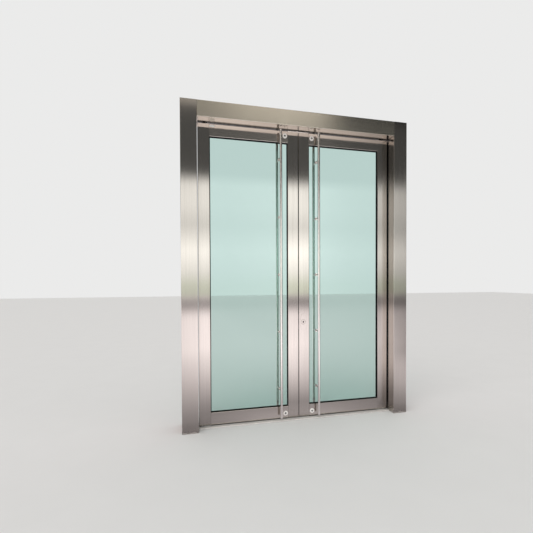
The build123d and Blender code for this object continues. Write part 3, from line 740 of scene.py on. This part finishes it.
# Lock rosettes: a near-white, mostly matt tone paints the bright sheen of their domed faces.
ROSETTE_PAINTED_SHEEN = PlainMetal("rosette_painted_sheen", tone=(1.0, 0.965, 0.93), roughness=0.35, mottle=0.02,
                           metallic=0.25, gap_shaded=True)
GREASED_STEEL = PlainMetal("greased_steel", tone=(0.03, 0.028, 0.025), roughness=0.5, mottle=0.1,
                           metallic=0.5, gap_shaded=True)
ZINC_PLATE = PlainMetal("zinc_plate", tone=(0.60, 0.61, 0.62), roughness=0.38, mottle=0.14,
                        mottle_scale=160.0)
PRIMED_STEEL = PlainMetal("primed_steel", tone=(0.26, 0.09, 0.06), roughness=0.7, mottle=0.12,
                          mottle_scale=14.0, metallic=0.0, relief=0.0003)
CAST_HOUSING = PlainMetal("cast_housing", tone=(0.22, 0.22, 0.23), roughness=0.5, mottle=0.10,
                          mottle_scale=220.0, metallic=0.6, relief=0.0003)
CLEAR_GLASS = PaneGlass("pane_glass")
GLAZING_RUBBER = SoftPlastic("glazing_rubber")
GREY_NYLON = SoftPlastic("nylon_washer", tone=(0.30, 0.30, 0.29), dust=(0.38, 0.37, 0.35),
                         roughness=0.45)


@dataclass
class Portal:
    """The boxy surround: cladding, the steel inside it, the threshold and the closers."""

    def dress(self) -> None:
        """Give every node of the portal its finish."""
        LEVEL_SHEET.put_on("header_cladding")
        WORN_PLATE.put_on("threshold_plate")
        PRIMED_STEEL.put_on("header_beam")
        ZINC_PLATE.put_on("frame_bolts", "pivot_screws")
        for side in SIDES:
            UPRIGHT_SHEET.put_on(f"{side}_jamb_cladding")
            PRIMED_STEEL.put_on(f"{side}_jamb_post")
            CAST_HOUSING.put_on(f"{side}_closer_body")
            ZINC_PLATE.put_on(f"{side}_bottom_pivot")


@dataclass
class Leaf:
    """One door leaf with its glazing, pull handles, pivots and locks."""

    side: str

    def dress(self) -> None:
        """Give every node of the leaf its finish."""
        side = self.side
        UPRIGHT_SHEET.put_on(f"{side}_hinge_stile", f"{side}_meeting_stile")
        dented = HIGHLIGHTED_RAIL if side == "left" else RAIL_SHEET
        dented.put_on(f"{side}_top_rail")
        RAIL_SHEET.put_on(f"{side}_bottom_rail")
        CLEAR_GLASS.put_on(f"{side}_glass_pane")
        GLAZING_RUBBER.put_on(f"{side}_gaskets", f"{side}_setting_blocks")
        GROUND_TUBE.put_on(f"{side}_outside_pull", f"{side}_inside_pull", f"{side}_pull_posts")
        ZINC_PLATE.put_on(f"{side}_pull_studs", f"{side}_bottom_pivot_shoe",
                          f"{side}_lock_cases")
        GREASED_STEEL.put_on(f"{side}_closer_spindle", f"{side}_top_pivot_arm")
        GREY_NYLON.put_on(f"{side}_pull_washers")
        ROSETTE_PAINTED_SHEEN.put_on(f"{side}_lock_rosettes")
        for end in ("top", "bottom"):
            PLUG_PAINTED_SHADE.put_on(f"{side}_{end}_lock_plug")
            ZINC_PLATE.put_on(f"{side}_{end}_lock_bolt")


@dataclass
class CentreLock:
    """The lock of the right meeting stile and its strike in the left one."""

    def dress(self) -> None:
        """Give every node of the centre lock its finish."""
        UPRIGHT_SHEET.put_on("centre_lock_escutcheons", "left_strike_plate")
        PLUG_PAINTED_SHADE.put_on("centre_lock_plug")
        ZINC_PLATE.put_on("centre_lock_case", "centre_lock_bolt")


@dataclass(frozen=True)
class FloorGlow:
    """What gloss sees of the floor, as brightness by place.

    It changes with the distance from the door, taken as the square root of its share of the
    floor's half width, and more slowly sideways than outwards. It also fans out from the
    photograph's eye point mirrored in the door, a fixed place that doesn't follow the camera.
    """

    tint: Colour = (1.0, 0.935, 0.955)
    sideways: float = 0.4
    by_distance: Levels = ((0.0, 0.26), (0.08, 0.25), (0.10, 0.22), (0.134, 0.20), (0.163, 0.26),
                           (0.207, 0.385), (0.28, 0.59), (0.385, 0.81), (0.557, 0.78),
                           (0.60, 0.78), (0.635, 0.72), (0.67, 0.60), (0.714, 0.42),
                           (0.76, 0.28), (0.80, 0.27), (0.87, 0.30), (0.93, 0.42), (1.0, 0.60))
    by_bearing: Levels = ((0.0, 0.83), (0.10, 0.83), (0.20, 0.95), (0.35, 0.98), (0.45, 0.83),
                          (0.52, 0.62), (0.57, 0.58), (0.59, 0.22), (1.0, 0.15))
    bearing_gain: float = 1.2
    bearing_sets_in: Span = Span(1.2, 3.2)
    far_right: Span = Span(2.5, 6.0, 1.0, 0.85)
    middle: Span = Span(0.4, 1.1, 1.35, 1.0)


@dataclass(frozen=True)
class SkyGlow:
    """What gloss sees past the floor, as brightness by direction.

    A lower band stands on the horizon, then comes a dark one, and an upper band lies over it.
    """

    green: Colour = (1.0, 1.07, 0.92)
    green_below: float = 0.08
    cool: Colour = (1.0, 1.01, 0.98)
    warm: Colour = (1.0, 0.94, 0.84)
    sideways: float = 0.15
    by_slope: Span = Span(-0.1, 1.2)
    lower: Levels = ((0.0, 0.42), (0.065, 0.55), (0.09, 0.76), (0.131, 1.0), (0.18, 0.60),
                     (0.22, 0.77), (0.258, 0.76), (0.280, 0.03), (0.405, 0.03), (0.412, 0.0))
    upper: Levels = ((0.0, 0.0), (0.405, 0.0), (0.412, 0.59), (0.43, 0.59), (0.5, 0.86),
                     (0.7, 1.0), (1.0, 1.0))
    between: Levels = ((0.0, 0.0), (0.24, 0.0), (0.28, 0.055), (0.40, 0.055), (0.412, 0.0),
                       (1.0, 0.0))
    lower_by_turn: Levels = ((0.0, 0.77), (0.12, 0.77), (0.25, 1.0), (0.36, 1.0), (0.44, 0.65),
                             (0.50, 0.52), (0.53, 0.50), (0.555, 0.58), (0.57, 0.58),
                             (0.59, 0.29), (0.62, 0.27), (1.0, 0.17))
    lower_gain: float = 1.3
    lower_far_right: Span = Span(1.0, 2.2, 0.0, 0.12)
    lower_far_left: Span = Span(-1.5, -0.5, 1.0, 0.0)
    upper_bearings: Span = Span(-1.0, 1.0)
    upper_by_bearing: Levels = ((0.0, 0.40), (0.5, 0.42), (0.515, 0.42), (0.527, 0.43),
                                (0.56, 0.66), (0.585, 0.86), (0.64, 1.0), (0.68, 0.95),
                                (0.695, 0.66), (0.71, 0.28), (0.725, 0.04), (0.75, 0.0),
                                (1.0, 0.0))
    inwards: Span = Span(0.0, 0.35, 1.0, 0.4)


@dataclass
class Studio:
    """The pale floor, the soft light and the camera at the photograph's viewing angle.

    The camera sees a plain pale backdrop. Gloss sees bands of brightness round the door, and a
    floor that falls off towards the door's foot.
    """

    image_width: float = 533.0
    focal_px: float = 392.35
    principal_px: tuple[float, float] = (287.44, 285.54)
    eye: tuple[float, float, float] = (-1.149, -3.853, 1.433)
    yaw_deg: float = 15.01
    pitch_deg: float = -0.988
    roll_deg: float = -0.163
    sensor: float = 36.0
    floor_half: float = 30.0
    floor_tone: Colour = (0.78, 0.77, 0.755)
    floor_darker: float = 0.965
    floor_clouds: Speckle = Speckle(3.0, 3.0)
    floor_roughness: float = 0.75
    backdrop: Colour = (0.83, 0.83, 0.825)
    ambient: Colour = (0.70, 0.70, 0.70)
    gloss_gain: float = 1.79
    floor_glow: FloorGlow = FloorGlow()
    sky_glow: SkyGlow = SkyGlow()
    key_energy: float = 1.0
    key_spread_deg: float = 50.0
    key_way: tuple[float, float, float] = (0.45, 0.7, -1.0)

    def camera(self) -> None:
        """A level camera a little to the left, with the photograph's framing."""
        data = bpy.data.cameras.new("view_camera")
        data.sensor_width = self.sensor
        data.lens = self.focal_px / self.image_width * self.sensor
        middle = self.image_width / 2
        data.shift_x = (middle - self.principal_px[0]) / self.image_width
        data.shift_y = (self.principal_px[1] - middle) / self.image_width
        made = bpy.data.objects.new("view_camera", data)
        bpy.context.scene.collection.objects.link(made)
        turn = (Matrix.Rotation(math.radians(-self.yaw_deg), 4, "Z")
                @ Matrix.Rotation(math.radians(LEVEL_DEG + self.pitch_deg), 4, "X")
                @ Matrix.Rotation(math.radians(self.roll_deg), 4, "Z"))
        made.matrix_world = Matrix.Translation(self.eye) @ turn
        bpy.context.scene.camera = made

    def floor(self) -> None:
        """A plain pale floor, large enough to meet the pale surroundings."""
        mesh = bpy.data.meshes.new("studio_floor")
        shape = bmesh.new()
        bmesh.ops.create_grid(shape, x_segments=1, y_segments=1, size=self.floor_half)
        shape.to_mesh(mesh)
        shape.free()
        made = bpy.data.objects.new("studio_floor", mesh)
        bpy.context.scene.collection.objects.link(made)
        mesh.materials.append(self.floor_material())

    def floor_material(self) -> bpy.types.Material:
        """Matt and pale to the camera, and with its own levels of brightness in gloss."""
        material = bpy.data.materials.new("pale_floor")
        material.use_nodes = True
        graph = Graph(material.node_tree)
        shader = material.node_tree.nodes["Principled BSDF"]
        place = graph.node("ShaderNodeTexCoord").outputs["Object"]
        cloud = graph.noise(place, self.floor_clouds)
        graph.feed(shader.inputs["Base Color"],
                   graph.mix(cloud, plain(shade(self.floor_darker, self.floor_tone)),
                             plain(self.floor_tone)))
        shader.inputs["Roughness"].default_value = self.floor_roughness
        glow = graph.node("ShaderNodeEmission")
        graph.feed(glow.inputs["Color"], self.floor_gloss(graph, place))
        choose = graph.node("ShaderNodeMixShader")
        path = graph.node("ShaderNodeLightPath")
        graph.feed(choose.inputs[0], graph.maths("SUBTRACT", path.outputs["Is Glossy Ray"],
                                                 path.outputs["Is Transmission Ray"],
                                                 clamp=True))
        graph.feed(choose.inputs[1], shader.outputs[0])
        graph.feed(choose.inputs[2], glow.outputs[0])
        output = material.node_tree.nodes["Material Output"]
        graph.feed(output.inputs["Surface"], choose.outputs[0])
        return material

    def floor_gloss(self, graph: Graph, place: Socket) -> Socket:
        """What gloss sees of the floor.

        Args:
            graph: The floor material's graph.
            place: The floor's coordinates.

        Returns:
            The colour.
        """
        glow = self.floor_glow
        parts = graph.parts(place)
        side, depth = parts["X"], graph.maths("ABSOLUTE", parts["Y"])
        bearing = graph.maths("DIVIDE", graph.maths("SUBTRACT", side, self.eye[0]),
                              graph.maths("SUBTRACT", depth, self.eye[1]))
        fanned = graph.mix(graph.remap(depth, glow.bearing_sets_in), plain(WHITE),
                           graph.band(bearing, glow.by_bearing, gain=glow.bearing_gain))
        fall = graph.scaled(fanned, graph.remap(side, glow.far_right))
        middle = graph.remap(graph.maths("ABSOLUTE", side), glow.middle)
        aside = graph.maths("MULTIPLY", side, glow.sideways)
        squared = graph.maths("MULTIPLY_ADD", aside, aside,
                              graph.maths("MULTIPLY", parts["Y"], parts["Y"]))
        away = graph.maths("SQRT", graph.maths("DIVIDE", graph.maths("SQRT", squared),
                                               self.floor_half))
        lit = graph.band(away, glow.by_distance, glow.tint, self.gloss_gain)
        return graph.scaled(lit, graph.maths("MULTIPLY", fall, middle))

    def key_light(self) -> None:
        """One large soft light from the front left, for the floor and the matt pieces."""
        data = bpy.data.lights.new("key_light", "SUN")
        data.energy = self.key_energy
        data.angle = math.radians(self.key_spread_deg)
        made = bpy.data.objects.new("key_light", data)
        bpy.context.scene.collection.objects.link(made)
        made.matrix_world = Vector(self.key_way).to_track_quat("-Z", "Y").to_matrix().to_4x4()
        made.visible_glossy = False

    def gloss(self, graph: Graph, way: Socket) -> Socket:
        """What gloss sees past the floor.

        Args:
            graph: The world's graph.
            way: The direction of the ray.

        Returns:
            The colour.
        """
        glow = self.sky_glow
        parts = graph.parts(way)
        along, aside, up = parts["Y"], parts["X"], parts["Z"]
        flat = graph.maths("MULTIPLY_ADD", graph.maths("MULTIPLY", aside, aside), glow.sideways,
                           graph.maths("MULTIPLY", along, along))
        slope = graph.maths("DIVIDE", up,
                            graph.maths("MAXIMUM", graph.maths("SQRT", flat), TINY))
        height = graph.remap(slope, glow.by_slope)
        bearing = graph.maths("DIVIDE", aside,
                              graph.maths("MAXIMUM", graph.maths("ABSOLUTE", along), TINY))
        lower_stops = tuple((stop, shade(level, glow.green if stop < glow.green_below
                                         else glow.cool)) for stop, level in glow.lower)
        lower = graph.ramp(height, lower_stops, self.gloss_gain)
        near = graph.band(graph.maths("ABSOLUTE", bearing), glow.lower_by_turn,
                          gain=glow.lower_gain)
        far = graph.maths("ADD", graph.remap(bearing, glow.lower_far_right),
                          graph.remap(bearing, glow.lower_far_left))
        upper = graph.band(height, glow.upper, glow.warm, self.gloss_gain)
        spread = graph.band(graph.remap(bearing, glow.upper_bearings), glow.upper_by_bearing)
        both = graph.vectors("MULTIPLY_ADD", upper, spread,
                             graph.scaled(lower, graph.maths("ADD", near, far))).outputs[0]
        summed = graph.vectors("ADD", both, graph.band(height, glow.between, glow.cool))
        return graph.scaled(summed.outputs[0], graph.remap(along, glow.inwards))

    def world(self) -> None:
        """A plain pale backdrop for the eye and the glass, even light, and bands for gloss."""
        world = bpy.data.worlds.new("pale_studio")
        bpy.context.scene.world = world
        world.use_nodes = True
        graph = Graph(world.node_tree)
        background = world.node_tree.nodes["Background"]
        way = graph.node("ShaderNodeTexCoord").outputs["Generated"]
        path = graph.node("ShaderNodeLightPath")
        mirrored = graph.maths("GREATER_THAN", path.outputs["Glossy Depth"],
                               UNDER_ONE_BOUNCE)
        straight = graph.maths("SUBTRACT", path.outputs["Is Transmission Ray"], mirrored,
                               clamp=True)
        seen = graph.maths("MAXIMUM", path.outputs["Is Camera Ray"], straight)
        glossy = graph.maths("MAXIMUM", path.outputs["Is Glossy Ray"], mirrored)
        lit = graph.mix(glossy, plain(self.ambient), self.gloss(graph, way))
        graph.feed(background.inputs["Color"], graph.mix(seen, lit, plain(self.backdrop)))
        background.inputs["Strength"].default_value = 1.0

    def build(self) -> None:
        """Make the camera, the floor, the world and the light."""
        self.camera()
        self.floor()
        self.world()
        self.key_light()


def main() -> None:
    """Dress the door piece by piece and light it."""
    logging.basicConfig(level=logging.INFO, format="%(name)s: %(message)s")
    bpy.context.scene.view_settings.view_transform = "Standard"
    Portal().dress()
    for side in SIDES:
        Leaf(side).dress()
    CentreLock().dress()
    Studio().build()


if __name__ == "__main__":
    main()
